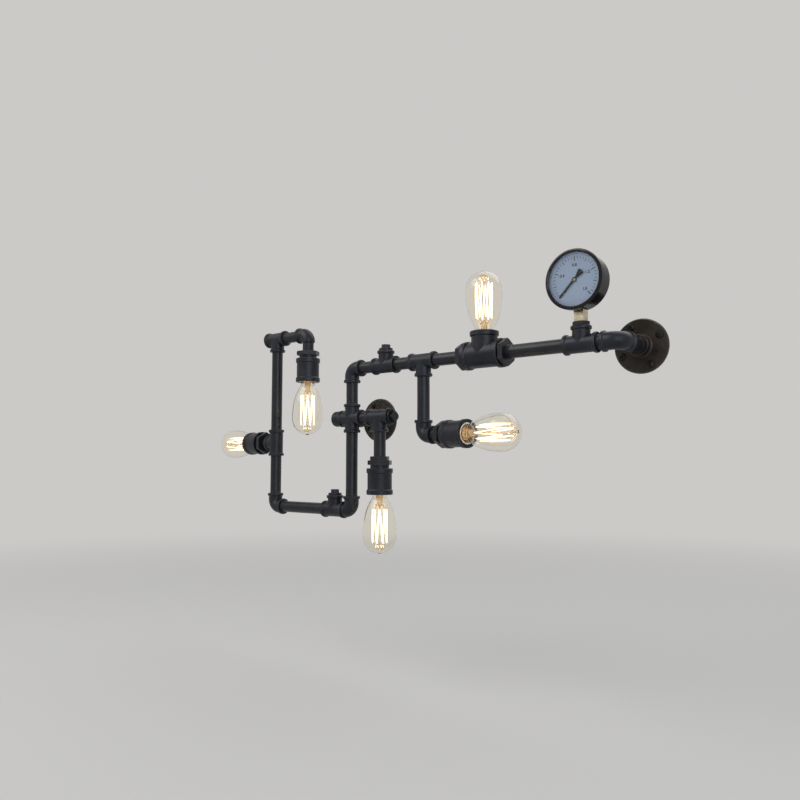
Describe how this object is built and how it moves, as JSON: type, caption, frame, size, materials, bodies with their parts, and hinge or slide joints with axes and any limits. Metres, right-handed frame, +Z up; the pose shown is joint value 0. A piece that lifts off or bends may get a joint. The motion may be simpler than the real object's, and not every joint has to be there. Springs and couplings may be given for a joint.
{
  "type": "pipe wall light",
  "caption": "Wall light made as a frame of black threaded pipe, with teardrop filament bulbs in coupling cups, a pressure gauge and round wall flanges.",
  "frame": {"origin": "centre of the left wall flange's back face, on the wall", "axes": "+X along the wall to the right as seen from the room, +Y into the wall, +Z up"},
  "size_m": [0.965, 0.1373, 0.4699],
  "materials": {
    "black_iron": "satin",
    "lamp_cap": "satin",
    "amber_glass": "gloss",
    "filament": "gloss",
    "contact_brass": "satin",
    "porcelain": "satin",
    "gauge_black": "satin",
    "gauge_brass": "satin",
    "dial_white": "matte",
    "gauge_glass": "gloss",
    "pointer_black": "matte",
    "cable_black": "matte"
  },
  "bodies": {
    "pipework": {"big_tee": "black_iron", "big_tee_bushings": "black_iron", "bottom_pipe": "black_iron", "cross_cap": "black_iron", "cross_fitting": "black_iron", "down_lamp_cup": "black_iron", "down_lamp_large_bushing": "black_iron", "down_lamp_small_bushing": "black_iron", "drop_pipe": "black_iron", "frame_elbows": "black_iron", "frame_lamp_contacts": "contact_brass", "frame_lamp_holders": "porcelain", "frame_tees": "black_iron", "gauge_bezel": "gauge_black", "gauge_bushing": "black_iron", "gauge_case": "gauge_black", "gauge_dial": "dial_white", "gauge_glass": "gauge_glass", "gauge_movement": "gauge_brass", "gauge_stem": "gauge_brass", "left_lamp_bushing": "black_iron", "left_lamp_cup": "black_iron", "left_riser_pipes": "black_iron", "long_pipe": "black_iron", "right_riser_pipes": "black_iron", "run_tees": "black_iron", "short_nipples": "black_iron", "supply_loom": "cable_black", "tee_plugs": "black_iron", "wall_flanges": "black_iron", "wall_nipples": "black_iron"},
    "top_arm": {"top_arm_elbow": "black_iron", "top_arm_bushing": "black_iron", "top_lamp_cup": "black_iron", "top_lamp_holder": "porcelain", "top_lamp_contacts": "contact_brass", "top_arm_cable": "cable_black"},
    "side_arm": {"side_arm_elbow": "black_iron", "side_arm_nipple": "black_iron", "side_arm_bushing": "black_iron", "side_lamp_cup": "black_iron", "side_lamp_holder": "porcelain", "side_lamp_contacts": "contact_brass", "side_arm_cable": "cable_black"},
    "gauge_hand": {"gauge_pointer": "pointer_black"},
    "top_bulb": {"top_bulb_base": "lamp_cap", "top_bulb_glass": "amber_glass", "top_bulb_filament": "filament"},
    "left_bulb": {"left_bulb_base": "lamp_cap", "left_bulb_glass": "amber_glass", "left_bulb_filament": "filament"},
    "down_bulb": {"down_bulb_base": "lamp_cap", "down_bulb_glass": "amber_glass", "down_bulb_filament": "filament"},
    "upright_bulb": {"upright_bulb_base": "lamp_cap", "upright_bulb_glass": "amber_glass", "upright_bulb_filament": "filament"},
    "side_bulb": {"side_bulb_base": "lamp_cap", "side_bulb_glass": "amber_glass", "side_bulb_filament": "filament"}
  },
  "joints": [
    {"name": "top_arm_swivel", "type": "hinge", "parent": "pipework", "child": "top_arm", "pos_m": [-0.119, -0.079, 0.168], "axis": [1, 0, 0], "range_deg": [-60, 10]},
    {"name": "side_arm_swivel", "type": "hinge", "parent": "pipework", "child": "side_arm", "pos_m": [0.1665, -0.079, -0.0345], "axis": [0, 0, 1], "range_deg": [-70, 9.5]},
    {"name": "gauge_hand_turn", "type": "hinge", "parent": "pipework", "child": "gauge_hand", "pos_m": [0.457, -0.079, 0.182], "axis": [0, 1, 0], "range_deg": [0, 270], "stiffness_Nm_per_rad": 0.002},
    {"name": "top_bulb_unscrew", "type": "slide", "parent": "top_arm", "child": "top_bulb", "axis": [0, 0, -1], "range_m": [0, 0.03]},
    {"name": "left_bulb_unscrew", "type": "slide", "parent": "pipework", "child": "left_bulb", "axis": [-0.989, 0.1478, 0], "range_m": [0, 0.03]},
    {"name": "down_bulb_unscrew", "type": "slide", "parent": "pipework", "child": "down_bulb", "axis": [0, 0, -1], "range_m": [0, 0.03]},
    {"name": "upright_bulb_unscrew", "type": "slide", "parent": "pipework", "child": "upright_bulb", "axis": [0, 0, 1], "range_m": [0, 0.03]},
    {"name": "side_bulb_unscrew", "type": "slide", "parent": "side_arm", "child": "side_bulb", "axis": [0.9863, -0.165, 0], "range_m": [0, 0.03]}
  ]
}
